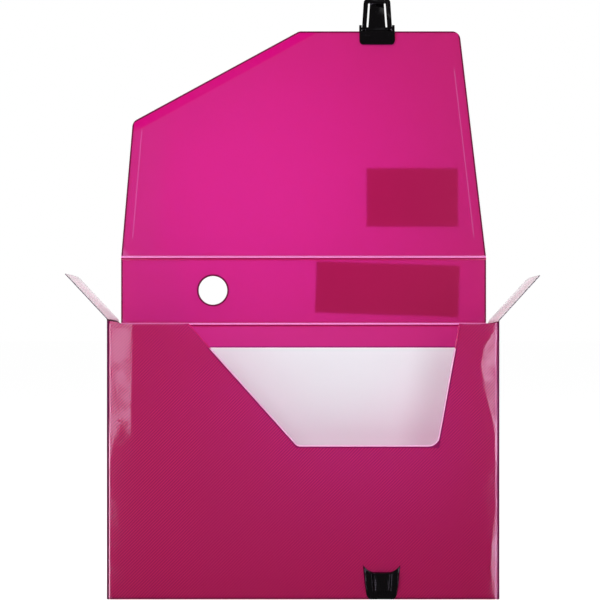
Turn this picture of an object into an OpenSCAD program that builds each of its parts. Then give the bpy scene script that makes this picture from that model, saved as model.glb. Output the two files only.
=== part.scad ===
// Portable file box for A4 papers, folded from one translucent plastic sheet, with a snap clasp.
// Millimetres. The origin is at the middle of the underside, +X to the right, +Y to the back, +Z up.
// It is drawn with its cover and its dust flaps open and its clasp lever in line with the cover.

/* [Box] */
// Width over the side walls
box_w = 331; // [311:1:360]
// Height of the front panel
box_h = 232; // [220:1:260]
// Depth from the front panel's outer face to the back panel's outer face
box_d = 58; // [40:1:90]
// Thickness of the sheet
sheet_t = 0.8; // [0.6:0.1:1]
// Outer radius of the upright folds
fold_r = 2.5; // [1.8:0.1:4]
// Reach of the side walls' welded tabs, from the side wall's outer face
tab_reach = 15; // [8:0.5:16]
// How far the rear welded tabs end below the side walls
tab_end = 3; // [1:0.5:10]
// Gap between a crease and the edge of a panel that turns on it
crease_gap = 0.3; // [0.2:0.05:0.4]
// Sides of a round edge or hole
$fn = 64; // [48:8:96]

/* [Cut-out in the front panel] */
// Depth of the cut-out, from the front panel's top edge
cut_depth = 103.5; // [60:0.5:120]
// Distance of its mouth from the box's left side
cut_left = 67.8; // [40:0.1:90]
// Distance of its mouth from the box's right side
cut_right = 33.2; // [25:0.1:60]
// How far its left edge leans in from the mouth to the floor
cut_lean_left = 92.7; // [60:0.1:100]
// How far its right edge leans in from the mouth to the floor
cut_lean_right = 18.8; // [5:0.1:40]
// Radius of its left lower corner
cut_r_left = 6; // [3:0.5:12]
// Radius of its right lower corner
cut_r_right = 10; // [3:0.5:14]

/* [Cover] */
// How much narrower the cover is than the box, on each side
cover_inset = 1.5; // [0.5:0.1:3]
// Gap between the closed spine and the front panel's top edge
spine_gap = 0.3; // [0.3:0.05:1]
// Gap between the closed lid and the front panel
lid_gap = 1.7; // [1.6:0.1:3]
// Height of the lid's left side, up to its slanted corner
lid_side = 121.6; // [90:0.1:150]
// How far the lid's left side leans in
lid_lean_left = 10.4; // [4:0.1:20]
// How far the lid's right side leans in
lid_lean_right = 23.9; // [8:0.1:40]
// Distance of the slanted corner's upper end from the cover's left side
lid_slant = 159.9; // [120:0.1:180]
// Radius of the lid's corners
lid_r = 7.5; // [4:0.5:12]
// Diameter of the finger hole in the spine
finger_d = 25.8; // [20:0.1:32]
// Distance of the finger hole's centre from the cover's left side
finger_x = 82.5; // [40:0.1:110]

/* [Labels] */
// Thickness of a label
label_t = 0.15; // [0.1:0.05:0.3]
// Width of the spine label
spine_label_w = 128.8; // [80:0.1:130]
// Margin between the spine label's long sides and the spine's creases, where the label is level
spine_label_edge = 6.75; // [5.5:0.05:12]
// How far the spine label's middle lies above the spine's middle
spine_label_rise = 1.1; // [0:0.1:1.5]
// Tilt of the spine label, as it was stuck on
spine_label_tilt = 1.8; // [0:0.1:2.5]
// Distance of the spine label's centre from the cover's right side
spine_label_x = 88.8; // [70:0.1:110]
// Width of the lid label
lid_label_w = 82.2; // [50:0.1:95]
// Height of the lid label
lid_label_h = 52.7; // [30:0.1:70]
// Distance of the lid label's right side from the cover's right side
lid_label_x = 25.3; // [20:0.1:40]
// Distance of the lid label's lower side from the lid's crease
lid_label_z = 27.3; // [10:0.1:60]

/* [Dust flaps] */
// Length of a flap, from its crease to its tip
flap_len = 54.9; // [30:0.1:70]
// Distance of a flap's rear edge from the back panel
flap_rear = 6.7; // [3:0.1:20]
// Radius of a flap's rear tip corner
flap_r = 6; // [2:0.5:12]
// Angle that a flap stands open from its closed place
flap_open = 130; // [90:1:150]

/* [Insert card] */
// Gap between the card and each welded tab
card_side_gap = 1.5; // [0.5:0.1:10]
// Height of the card
card_h = 210; // [180:1:214]
// Thickness of the card
card_t = 0.5; // [0.3:0.1:1]
// Gap behind the card and below it
card_gap = 0.3; // [0.2:0.05:1]

/* [Clasp] */
// Distance of the clasp's middle from the box's right side
clasp_x = 99.5; // [60:0.5:140]
// Width of the clasp's base
base_w = 31.7; // [28:0.1:36]
// How far the clasp's base grips the lid
base_grip = 12; // [10:0.1:16]
// Thickness of the clasp's base outside the lid
base_t = 4; // [3.5:0.1:5]
// How far the clasp's base stands past the lid's free edge
base_top = 0.5; // [0.3:0.05:0.6]
// Radius of the clasp base's lower corners
base_r = 3.5; // [1:0.1:4]
// Thickness of the clasp's plate inside the lid
clasp_plate_t = 1.2; // [0.8:0.1:1.3]
// Width of the lever at its pin
lever_w_root = 26.9; // [24:0.1:27]
// Width of the lever at its tip
lever_w_tip = 23.6; // [20:0.1:24]
// Width of one side of the lever at its pin
lever_side_root = 3.9; // [3:0.1:5]
// Width of one side of the lever at its tip
lever_side_tip = 4.1; // [3:0.1:5]
// Thickness of the lever's plate
lever_t = 2; // [1.5:0.1:2.5]
// Length of the lip at the lever's tip
lever_lip = 4.3; // [3:0.1:6]
// Width of the two slots beside the lever's tongue
slot_w = 1.7; // [1:0.1:2.5]
// Distance of the slots from the lever's tip
slot_end = 2.6; // [2.5:0.1:5]
// Distance of the slots from the lever's pin
slot_start = 1.25; // [1.25:0.05:4]
// Radius of the lever's tip corners
lever_r = 3; // [1:0.1:5]
// Radius of the lever's hinge barrel
barrel_r = 2.2; // [1.8:0.1:2.4]
// Radius of the base's hinge ears
ear_r = 2.6; // [2.2:0.1:2.9]
// How far the hinge ears stand above the pin's axis
ear_rise = 3.5; // [2.9:0.1:3.6]
// Gap between the lever and each hinge ear
ear_gap = 0.35; // [0.2:0.05:0.6]
// Gap between the closed lever's tip and the surface that the box stands on
toe_gap = 1; // [0.2:0.05:1.2]
// Radius of the lever's pin
pin_r = 1; // [0.8:0.05:1.2]
// Distance of the pin from the lid's free edge
pin_out = 2.9; // [2.9:0.05:4]
// Running clearance of the pin
pin_fit = 0.05; // [0.02:0.01:0.08]
// Distance between the rivets of the clasp
clasp_rivet_pitch = 18; // [12:0.5:22]

/* [Catch] */
// Height of the catch to its tips
catch_h = 29; // [26:0.1:32]
// Height of the saddle between the tips
saddle_h = 23; // [20:0.1:23]
// Width of the catch over its tips
catch_w = 31.5; // [30:0.1:34]
// Width of the catch at its waist
catch_waist_w = 28.9; // [28.5:0.1:30]
// Height of the catch's waist
catch_waist_h = 14.2; // [12:0.1:18]
// Width of the catch just above its foot
catch_shin_w = 25.8; // [24:0.1:28]
// Height above the foot at which the catch has that width
catch_shin_h = 4.3; // [3:0.1:8]
// Width of the catch's foot
catch_foot_w = 22.7; // [20:0.1:24]
// Thickness of the catch's floor
catch_t = 1; // [0.8:0.1:1.2]
// Height of the catch's middle block above the front panel
block_t = 3; // [2.6:0.1:3.4]
// Height of the catch's side rails above the front panel
rail_t = 3.4; // [2:0.1:4]
// Height at which the side rails start
rail_foot = 9; // [8:0.1:14]
// Thickness of the catch's plate inside the front panel
catch_plate_t = 1; // [0.8:0.1:1.5]
// Height of the catch plate's lower edge
catch_plate_foot = 3; // [2.5:0.1:6]
// Distance between the rivets of the catch
catch_rivet_pitch = 10; // [8:0.5:11]
// Height of the rivets of the catch
catch_rivet_h = 14; // [11:0.5:17]
// Gap between the closed lid's edge and the catch's tips
latch_gap = 0.8; // [0.8:0.1:3]
// Clearance between the closed lever and the catch
latch_fit = 0.4; // [0.3:0.05:0.45]

/* [Rivets] */
// Radius of a rivet's shank
rivet_r = 1.5; // [1:0.1:1.8]
// Radius of a rivet's head
rivet_head_r = 2.5; // [2.2:0.1:3]
// Thickness of a rivet's head
rivet_head_t = 0.5; // [0.3:0.1:0.6]
// Depth of a rivet in its moulding
rivet_grip = 1.6; // [1:0.1:1.8]
// Clearance around a rivet
rivet_fit = 0.05; // [0.02:0.01:0.1]

/* [Hidden] */

magenta = [0.78, 0.12, 0.45];
dark_magenta = [0.62, 0.12, 0.32];
pale_pink = [0.93, 0.86, 0.89];
gloss_black = [0.05, 0.05, 0.06];
paper_white = [0.93, 0.93, 0.94];

// The box's faces and the middle of its sheets
side_x = box_w / 2;
front_y = -box_d / 2;
back_y = box_d / 2;
inner_front_y = front_y + sheet_t;
inner_back_y = back_y - sheet_t;
back_mid_y = back_y - sheet_t / 2;
half_sheet = sheet_t / 2;
edge_gap = half_sheet + crease_gap;
over = 1;

// The cover's creases. The closed lid hangs lid_gap in front of the front panel.
cover_x = side_x - cover_inset;
spine_axis_z = box_h + spine_gap + half_sheet;
spine_len = box_d + lid_gap;
lid_axis_z = spine_axis_z + spine_len;
lid_edge_h = catch_h + latch_gap;
lid_len = spine_axis_z - lid_edge_h;
lid_edge_z = lid_axis_z + lid_len;

// A flap's crease lies in its side wall, and the closed flap lies just under the closed spine
flap_axis_x = side_x - half_sheet;
flap_axis_z = box_h - half_sheet;
flap_front_y = front_y + fold_r + crease_gap;
flap_w = inner_back_y - flap_rear - flap_front_y;

// The clasp. Levels are counted outwards, first from the front panel's outer face with the lid
// closed, then from the middle of the lid's sheet.
latch_x = side_x - clasp_x;
lid_level = lid_gap + half_sheet;
lever_in = block_t + latch_fit;
lever_foot = catch_t + latch_fit;
pin_level = lever_in + lever_t / 2;
tip_t = pin_level - ear_r - latch_fit;
pin_y = back_mid_y + pin_level - lid_level;
pin_z = lid_edge_z + pin_out;
closed_pin_z = lid_edge_h - pin_out;
lever_len = closed_pin_z - toe_gap;
ear_w = (base_w - lever_w_root) / 2 - ear_gap;

// Half widths of the lever and of its channel at a distance s from the pin
function lever_half(s) = (lever_w_root + (lever_w_tip - lever_w_root) * s / lever_len) / 2;
function channel_half(s) = lever_half(s)
    - lever_side_root - (lever_side_tip - lever_side_root) * s / lever_len;

// A polygon's corner b, between a and c, as the points of an arc of radius r
corner_steps = 10;
function unit(v) = v / norm(v);
function turned(v, a) = [v[0] * cos(a) - v[1] * sin(a), v[0] * sin(a) + v[1] * cos(a)];
function corner(a, b, c, r) =
    r == 0 ? [b] :
    let (ua = unit(a - b), uc = unit(c - b), half = acos(ua * uc) / 2)
    let (mid = b + unit(ua + uc) * r / sin(half), from = b + ua * r / tan(half) - mid)
    let (turn = -sign(cross(ua, uc)) * (180 - 2 * half))
    [for (i = [0:corner_steps]) mid + turned(from, turn * i / corner_steps)];
// A closed outline with the radius r[i] at each point p[i]
function rounded(p, r) = [for (i = [0:len(p) - 1])
    each corner(p[(i + len(p) - 1) % len(p)], p[i], p[(i + 1) % len(p)], r[i])];

// An outline in X and Z, made a plate of thickness t whose rear face is at y
module standing(y, t) {
    translate([0, y, 0])
        rotate([90, 0, 0])
            linear_extrude(t)
                children();
}

// The mirror image of a left-hand piece
module right_hand() {
    mirror([1, 0, 0])
        children();
}

// A quarter turn of the sheet around a centre, opening towards sx and sy
module fold(sx, sy) {
    intersection() {
        difference() {
            circle(fold_r);
            circle(fold_r - sheet_t);
        }
        translate([sx < 0 ? -fold_r : 0, sy < 0 ? -fold_r : 0])
            square(fold_r);
    }
}

module cut_out() {
    floor_z = box_h - cut_depth;
    left_top = -side_x + cut_left;
    right_top = side_x - cut_right;
    left_rise = cut_lean_left * over / cut_depth;
    right_rise = cut_lean_right * over / cut_depth;
    points = [[left_top - left_rise, box_h + over], [left_top + cut_lean_left, floor_z],
        [right_top - cut_lean_right, floor_z], [right_top + right_rise, box_h + over]];
    standing(inner_front_y + over, sheet_t + 2 * over)
        polygon(rounded(points, [0, cut_r_left, cut_r_right, 0]));
}

// One cylinder at each rivet, along Y from y forwards
module at_rivets(pitch, z, y, r, depth) {
    for (side = [-1, 1])
        translate([latch_x + side * pitch / 2, y, z])
            rotate([90, 0, 0])
                cylinder(r = r, h = depth);
}

module front_panel() {
    color(dark_magenta)
        difference() {
            linear_extrude(box_h) {
                translate([-side_x + fold_r, front_y])
                    square([box_w - 2 * fold_r, sheet_t]);
                for (side = [-1, 1])
                    translate([side * (side_x - fold_r), front_y + fold_r])
                        fold(side, -1);
            }
            cut_out();
            at_rivets(catch_rivet_pitch, catch_rivet_h, inner_front_y + over,
                rivet_r + rivet_fit, sheet_t + 2 * over);
        }
}

module back_panel() {
    color(magenta)
        translate([-cover_x, inner_back_y, 0])
            cube([2 * cover_x, sheet_t, spine_axis_z - edge_gap]);
}

module bottom_panel() {
    inner_x = side_x - sheet_t;
    rear_relief = 2 * fold_r;
    points = [[-inner_x, inner_front_y], [inner_x, inner_front_y],
        [inner_x, inner_back_y], [-inner_x, inner_back_y]];
    color(dark_magenta)
        linear_extrude(sheet_t)
            polygon(rounded(points, [fold_r, fold_r, rear_relief, rear_relief]));
}

wall_h = flap_axis_z - edge_gap;

module left_wall() {
    color(dark_magenta)
        linear_extrude(wall_h) {
            translate([-side_x, front_y + fold_r])
                square([sheet_t, inner_back_y - front_y - 2 * fold_r]);
            translate([-side_x + fold_r, inner_back_y - fold_r])
                fold(-1, 1);
        }
}

module right_wall() {
    right_hand()
        left_wall();
}

// The weld tab starts above the bottom tab and ends a little below the side wall's top
module left_weld_tab() {
    foot = 2 * sheet_t + crease_gap;
    color(dark_magenta)
        translate([-side_x + fold_r, inner_back_y - sheet_t, foot])
            cube([tab_reach - fold_r, sheet_t, wall_h - foot - tab_end]);
}

module right_weld_tab() {
    right_hand()
        left_weld_tab();
}

module left_bottom_tab() {
    front = front_y + fold_r;
    rear = inner_back_y - fold_r;
    tip = -side_x + tab_reach;
    points = [[-side_x + sheet_t, front], [tip, front], [tip, rear], [-side_x + sheet_t, rear]];
    color(dark_magenta)
        translate([0, 0, sheet_t])
            linear_extrude(sheet_t)
                polygon(rounded(points, [0, fold_r, fold_r, 0]));
}

module right_bottom_tab() {
    right_hand()
        left_bottom_tab();
}

module cross_crease(y, z) {
    translate([-cover_x, y, z])
        rotate([0, 90, 0])
            cylinder(r = half_sheet, h = 2 * cover_x);
}

module back_crease() {
    color(magenta)
        cross_crease(back_mid_y, spine_axis_z);
}

module lid_crease() {
    color(magenta)
        cross_crease(back_mid_y, lid_axis_z);
}

module left_flap_crease() {
    color(pale_pink)
        translate([-flap_axis_x, flap_front_y, flap_axis_z])
            rotate([-90, 0, 0])
                cylinder(r = half_sheet, h = flap_w);
}

module right_flap_crease() {
    right_hand()
        left_flap_crease();
}

module left_flap() {
    points = [[edge_gap, 0], [flap_len, 0], [flap_len, flap_w], [edge_gap, flap_w]];
    color(pale_pink)
        translate([-flap_axis_x, flap_front_y, flap_axis_z])
            rotate([0, -flap_open, 0])
                translate([0, 0, -half_sheet])
                    linear_extrude(sheet_t)
                        polygon(rounded(points, [0, sheet_t, flap_r, 0]));
}

module right_flap() {
    right_hand()
        left_flap();
}

module spine_panel() {
    low = spine_axis_z + edge_gap;
    color(magenta)
        difference() {
            translate([-cover_x, inner_back_y, low])
                cube([2 * cover_x, sheet_t, lid_axis_z - edge_gap - low]);
            translate([-cover_x + finger_x, back_y + over, spine_axis_z + spine_len / 2])
                rotate([90, 0, 0])
                    cylinder(d = finger_d, h = sheet_t + 2 * over);
        }
}

// A label is stuck on the outer face, round its own middle
module label(x, z, w, h, tilt) {
    translate([x, back_y + label_t, z])
        rotate([90, tilt, 0])
            linear_extrude(label_t)
                square([w, h], center = true);
}

module spine_label() {
    color(paper_white)
        label(cover_x - spine_label_x, spine_axis_z + spine_len / 2 + spine_label_rise,
            spine_label_w, spine_len - 2 * spine_label_edge, spine_label_tilt);
}

module lid_label() {
    color(paper_white)
        label(cover_x - lid_label_x - lid_label_w / 2,
            lid_axis_z + lid_label_z + lid_label_h / 2, lid_label_w, lid_label_h, 0);
}

// Across a side that leans in, the panel's edge at its crease is a little inside its corner
module lid_panel() {
    foot = lid_axis_z + edge_gap;
    left_foot = -cover_x + lid_lean_left * edge_gap / lid_side;
    right_foot = cover_x - lid_lean_right * edge_gap / lid_len;
    points = [[left_foot, foot], [right_foot, foot],
        [cover_x - lid_lean_right, lid_edge_z], [-cover_x + lid_slant, lid_edge_z],
        [-cover_x + lid_lean_left, lid_axis_z + lid_side]];
    color(magenta)
        difference() {
            standing(back_y, sheet_t)
                polygon(rounded(points, [0, 0, lid_r, lid_r, lid_r]));
            at_rivets(clasp_rivet_pitch, clasp_rivet_z, back_y + over,
                rivet_r + rivet_fit, sheet_t + 2 * over);
        }
}

clasp_rivet_z = lid_edge_z - base_grip / 2;

// The base's outline on the lid, with its two lower corners rounded
module base_outline(top) {
    points = [[latch_x - base_w / 2, lid_edge_z - base_grip],
        [latch_x + base_w / 2, lid_edge_z - base_grip],
        [latch_x + base_w / 2, top], [latch_x - base_w / 2, top]];
    polygon(rounded(points, [base_r, base_r, 0, 0]));
}

module clasp_base() {
    arm_foot = lid_edge_z + base_top / 2;
    ear_z = pin_z + ear_rise - ear_r;
    color(gloss_black)
        difference() {
            union() {
                standing(back_y + base_t, base_t)
                    base_outline(lid_edge_z + base_top);
                for (side = [-1, 1])
                    translate([latch_x + side * (base_w - ear_w) / 2, pin_y, 0]) {
                        translate([-ear_w / 2, -ear_r, arm_foot])
                            cube([ear_w, 2 * ear_r, ear_z - arm_foot]);
                        translate([-ear_w / 2, 0, ear_z])
                            rotate([0, 90, 0])
                                cylinder(r = ear_r, h = ear_w);
                    }
            }
            translate([latch_x - base_w / 2 - over, pin_y, pin_z])
                rotate([0, 90, 0])
                    cylinder(r = pin_r + pin_fit, h = base_w + 2 * over);
            at_rivets(clasp_rivet_pitch, clasp_rivet_z, back_y + rivet_grip,
                rivet_r + rivet_fit, rivet_grip + over);
        }
}

module clasp_plate() {
    face_y = inner_back_y - clasp_plate_t;
    color(gloss_black)
        difference() {
            standing(inner_back_y, clasp_plate_t)
                base_outline(lid_edge_z);
            at_rivets(clasp_rivet_pitch, clasp_rivet_z, inner_back_y + over,
                rivet_r + rivet_fit, clasp_plate_t + 2 * over);
            at_rivets(clasp_rivet_pitch, clasp_rivet_z, face_y + rivet_head_t,
                rivet_head_r + rivet_fit, rivet_head_t + over);
        }
}

module clasp_rivets() {
    face_y = inner_back_y - clasp_plate_t;
    color(gloss_black) {
        at_rivets(clasp_rivet_pitch, clasp_rivet_z, back_y + rivet_grip,
            rivet_r, back_y + rivet_grip - face_y);
        at_rivets(clasp_rivet_pitch, clasp_rivet_z, face_y + rivet_head_t,
            rivet_head_r, rivet_head_t);
    }
}

module lever_pin() {
    color(gloss_black)
        translate([latch_x - base_w / 2, pin_y, pin_z])
            rotate([0, 90, 0])
                cylinder(r = pin_r, h = base_w);
}

// The slot on the lever's right-hand side, just inside its channel's wall
module lever_slot() {
    ends = [slot_start, lever_len - slot_end];
    outer = [for (s = ends) channel_half(s)];
    polygon(rounded([[outer[0] - slot_w, ends[0]], [outer[0], ends[0]],
        [outer[1], ends[1]], [outer[1] - slot_w, ends[1]]],
        [for (i = [0:3]) slot_w * 0.45]));
}

// The lever is a channel that tapers to its lipped tip, drawn from its pin upwards. Two slots part
// its springy tongue from its sides.
module clasp_lever() {
    outer_y = pin_y + lever_t / 2;
    floor_t = lever_in - lever_foot;
    channel_end = lever_len - lever_lip;
    outline = [[-lever_half(0), 0], [lever_half(0), 0],
        [lever_half(lever_len), lever_len], [-lever_half(lever_len), lever_len]];
    channel = [[-channel_half(0), -over - barrel_r], [channel_half(0), -over - barrel_r],
        [channel_half(channel_end), channel_end], [-channel_half(channel_end), channel_end]];
    color(gloss_black)
        difference() {
            union() {
                translate([latch_x, 0, pin_z])
                    standing(outer_y, lever_t + floor_t)
                        polygon(rounded(outline, [0, 0, lever_r, lever_r]));
                translate([latch_x - lever_w_root / 2, pin_y, pin_z])
                    rotate([0, 90, 0])
                        cylinder(r = barrel_r, h = lever_w_root);
            }
            translate([latch_x, 0, pin_z + barrel_r + over])
                standing(outer_y - lever_t, floor_t + over)
                    polygon(rounded([for (p = channel) p - [0, barrel_r + over]], [0, 0, 1, 1]));
            for (side = [0, 1])
                translate([latch_x, 0, pin_z])
                    mirror([side, 0, 0])
                        standing(pin_y + barrel_r + over, 2 * (barrel_r + floor_t))
                            lever_slot();
            translate([latch_x - base_w / 2, pin_y, pin_z])
                rotate([0, 90, 0])
                    cylinder(r = pin_r + pin_fit, h = base_w);
        }
}

// The catch's outline narrows from its tips to its foot, with a saddle between the tips
module catch_outline() {
    tip_in = channel_half(closed_pin_z - saddle_h) - latch_fit;
    half = [[catch_foot_w / 2, 0], [catch_shin_w / 2, catch_shin_h],
        [catch_waist_w / 2, catch_waist_h], [catch_w / 2, catch_h], [tip_in, saddle_h]];
    left = [for (i = [len(half) - 1:-1:0]) [-half[i][0], half[i][1]]];
    polygon(rounded(concat(half, left), [2, 3, 0, 0, 1, 1, 0, 0, 3, 2]));
}

module catch() {
    block_foot = closed_pin_z - (lever_len - lever_lip) + latch_fit;
    block = [for (z = [block_foot, saddle_h]) channel_half(closed_pin_z - z) - latch_fit];
    rail = [for (z = [rail_foot, saddle_h, closed_pin_z]) lever_half(closed_pin_z - z) + latch_fit];
    outer = catch_w;
    color(gloss_black)
        difference() {
            translate([latch_x, 0, 0])
                union() {
                    standing(front_y, catch_t)
                        catch_outline();
                    standing(front_y, block_t)
                        polygon([[-block[0], block_foot], [block[0], block_foot],
                            [block[1], saddle_h], [-block[1], saddle_h]]);
                    for (side = [-1, 1]) {
                        standing(front_y, rail_t)
                            intersection() {
                                catch_outline();
                                polygon([[side * rail[0], rail_foot], [side * outer, rail_foot],
                                    [side * outer, saddle_h], [side * rail[1], saddle_h]]);
                            }
                        standing(front_y, tip_t)
                            intersection() {
                                catch_outline();
                                polygon([[side * rail[1], saddle_h], [side * outer, saddle_h],
                                    [side * outer, catch_h], [side * rail[2], catch_h]]);
                            }
                    }
                }
            at_rivets(catch_rivet_pitch, catch_rivet_h, front_y + over,
                rivet_r + rivet_fit, rivet_grip + over);
        }
}

module catch_plate() {
    color(gloss_black)
        difference() {
            translate([latch_x - catch_foot_w / 2, inner_front_y, catch_plate_foot])
                cube([catch_foot_w, catch_plate_t, saddle_h - catch_plate_foot]);
            at_rivets(catch_rivet_pitch, catch_rivet_h, inner_front_y + catch_plate_t + over,
                rivet_r + rivet_fit, catch_plate_t + 2 * over);
            at_rivets(catch_rivet_pitch, catch_rivet_h, inner_front_y + catch_plate_t + over,
                rivet_head_r + rivet_fit, rivet_head_t + over);
        }
}

module catch_rivets() {
    face_y = inner_front_y + catch_plate_t;
    color(gloss_black) {
        at_rivets(catch_rivet_pitch, catch_rivet_h, face_y, rivet_r,
            face_y - front_y + rivet_grip);
        at_rivets(catch_rivet_pitch, catch_rivet_h, face_y, rivet_head_r, rivet_head_t);
    }
}

module insert_card() {
    card_x = side_x - tab_reach - card_side_gap;
    color(paper_white)
        translate([-card_x, inner_back_y - card_gap - card_t, sheet_t + card_gap])
            cube([2 * card_x, card_t, card_h]);
}

front_panel();
back_panel();
bottom_panel();
left_wall();
right_wall();
left_weld_tab();
right_weld_tab();
left_bottom_tab();
right_bottom_tab();
back_crease();
left_flap_crease();
right_flap_crease();
left_flap();
right_flap();
spine_panel();
spine_label();
lid_crease();
lid_panel();
lid_label();
clasp_base();
clasp_plate();
clasp_rivets();
lever_pin();
clasp_lever();
catch();
catch_plate();
catch_rivets();
insert_card();
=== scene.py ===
import math

import bmesh
import bpy
import numpy as np
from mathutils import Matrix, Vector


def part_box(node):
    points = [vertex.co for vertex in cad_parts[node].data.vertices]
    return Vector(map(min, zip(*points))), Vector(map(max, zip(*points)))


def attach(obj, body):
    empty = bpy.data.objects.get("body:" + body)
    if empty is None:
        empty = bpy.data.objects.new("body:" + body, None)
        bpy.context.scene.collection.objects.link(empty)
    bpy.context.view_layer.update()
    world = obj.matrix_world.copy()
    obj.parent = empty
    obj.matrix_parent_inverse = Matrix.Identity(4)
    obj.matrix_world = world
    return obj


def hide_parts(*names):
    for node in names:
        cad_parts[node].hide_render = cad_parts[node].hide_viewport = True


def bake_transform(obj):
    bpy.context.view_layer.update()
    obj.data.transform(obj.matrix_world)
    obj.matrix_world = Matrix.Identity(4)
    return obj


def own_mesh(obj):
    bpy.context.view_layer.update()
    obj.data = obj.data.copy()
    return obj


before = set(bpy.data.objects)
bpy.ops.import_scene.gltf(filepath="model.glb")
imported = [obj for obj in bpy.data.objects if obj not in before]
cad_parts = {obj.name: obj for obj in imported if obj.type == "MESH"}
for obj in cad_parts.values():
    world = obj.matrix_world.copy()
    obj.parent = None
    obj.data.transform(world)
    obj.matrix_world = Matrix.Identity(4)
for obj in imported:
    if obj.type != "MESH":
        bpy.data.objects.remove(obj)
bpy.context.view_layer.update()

MM = 0.001

# The box body: back, bottom, side walls and welded tabs, all one sheet of translucent magenta
# polypropylene, 0.8 mm thick, cut by a die, folded and welded at the tabs. The outer face is finely
# ribbed by its roller, and the inner face is smooth.


class Wire:
    """A shader socket that is used in sums. Each operator adds one Math node to its tree."""

    def __init__(self, shader, socket):
        self.shader, self.socket = shader, socket

    def math(self, operation, *values):
        return self.shader.add("ShaderNodeMath", dict(enumerate(values)), operation=operation)

    def __add__(self, other):
        return self.math("ADD", self, other)

    def __sub__(self, other):
        return self.math("SUBTRACT", self, other)

    def __rsub__(self, other):
        return self.math("SUBTRACT", other, self)

    def __mul__(self, other):
        return self.math("MULTIPLY", self, other)

    __radd__ = __add__
    __rmul__ = __mul__

    def sine(self):
        return self.math("SINE", self)

    def size(self):
        return self.math("ABSOLUTE", self)

    def root(self):
        return self.math("SQRT", self)

    def larger(self, other):
        return self.math("MAXIMUM", self, other)

    def step(self, low, high):
        """0 below low, 1 above high, and a smooth rise between them. high may be the lower one."""
        flip = high < low
        if flip:
            low, high = high, low
        rise = self.shader.add("ShaderNodeMapRange", {0: self, 1: low, 2: high, 3: 0.0, 4: 1.0},
                               interpolation_type="SMOOTHSTEP")
        return 1.0 - rise if flip else rise

    def band(self, middle, half, soft):
        """1 within half of the middle, falling to 0 over a further width of soft."""
        return (self - middle).size().step(half + soft, half)


class Shader:
    """A material, or the studio's surroundings, and its node tree. add() makes any node."""

    def __init__(self, name, shelf=bpy.data.materials):
        self.owner = shelf.new(name)
        self.owner.use_nodes = True
        self.tree = self.owner.node_tree
        self.tree.nodes.clear()

    def add(self, kind, sockets=None, out=0, **settings):
        """A node of a kind: first its settings, then its sockets' values or links."""
        node = self.tree.nodes.new(kind)
        for key, value in settings.items():
            setattr(node, key, value)
        for key, value in (sockets or {}).items():
            if isinstance(value, Wire):
                self.tree.links.new(value.socket, node.inputs[key])
            else:
                node.inputs[key].default_value = value
        return Wire(self, node.outputs[out] if node.outputs else None)

    def place(self):
        """The X, Y and Z of a point of the piece, in metres."""
        coordinate = self.add("ShaderNodeTexCoord", out=3)
        split = self.add("ShaderNodeSeparateXYZ", {0: coordinate})
        return [Wire(self, socket) for socket in split.socket.node.outputs]

    def along(self):
        """The two numbers of the piece's own UV map."""
        split = self.add("ShaderNodeSeparateXYZ", {0: self.add("ShaderNodeTexCoord", out=2)})
        return [Wire(self, socket) for socket in split.socket.node.outputs][:2]

    def noise(self, scale, detail=3.0, roughness=0.5):
        """Cloudy noise between 0 and 1, with scale lumps a metre."""
        place = self.add("ShaderNodeTexCoord", out=3)
        return self.add("ShaderNodeTexNoise", {"Vector": place, "Scale": scale,
                                               "Detail": detail, "Roughness": roughness})

    def mix(self, share, first, second):
        """A colour between first and second."""
        first, second = [v if isinstance(v, Wire) else (*v, 1.0) for v in (first, second)]
        return self.add("ShaderNodeMix", {0: share, 6: first, 7: second}, out=2, data_type="RGBA")

    def bump(self, height, distance, strength=1.0):
        return self.add("ShaderNodeBump", {"Height": height, "Distance": distance,
                                           "Strength": strength})

    def glossy(self, colour, roughness, normal=None, level=0.5):
        """The shader of a plastic or paper surface."""
        sockets = {"Base Color": colour, "Roughness": roughness, "Specular IOR Level": level}
        if normal:
            sockets["Normal"] = normal
        return self.add("ShaderNodeBsdfPrincipled", sockets)

    def show(self, surface, output="ShaderNodeOutputMaterial"):
        """The material or the surroundings, with this shader as its surface."""
        self.add(output, {0: surface})
        return self.owner

    def show_lit_through(self, skin, share, glow):
        """The material of a translucent sheet: its skin, mixed with a share of the light from
        behind it, in the colour that it lets through."""
        through = self.add("ShaderNodeBsdfTranslucent", {"Color": (*glow, 1.0)})
        return self.show(self.add("ShaderNodeMixShader", {0: share, 1: skin, 2: through}))


def span(node):
    """The lowest and the highest corner of a CAD node."""
    return [np.array(corner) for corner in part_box(node)]


# Colours of the sheet, linear: what it reflects, what it lets through, the pale of its score lines
# and of painted highlights, and the dark of its cut edges and of painted shade. SHEET_SHARE is the
# share of what comes through it.
SHEET_SKIN = (0.95, 0.0195, 0.20)
SHEET_GLOW = (0.68, 0.17, 0.63)
SHEET_PALE_AND_HIGHLIGHT = (1.0, 0.30, 0.62)
SHEET_DARK_AND_SHADE = (0.16, 0.005, 0.045)
BACK_SKIN = (0.98, 0.045, 0.24)
SHEET_SHARE = 0.55
# The ribs: their pitch, their height in the bump, and the multiples of the colour for their painted
# light and painted shade
RIB_PITCH = 1.9 * MM
RIB_RISE = 0.014
RIB_PAINTED_LIGHT, RIB_PAINTED_SHADE = (1.17, 2.8, 1.42), (0.48, 0.05, 0.42)


def times(colour, shares):
    """A colour with each of its parts multiplied, and kept from passing 1."""
    return tuple(min(1.0, share * part) for share, part in zip(shares, colour))


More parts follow.
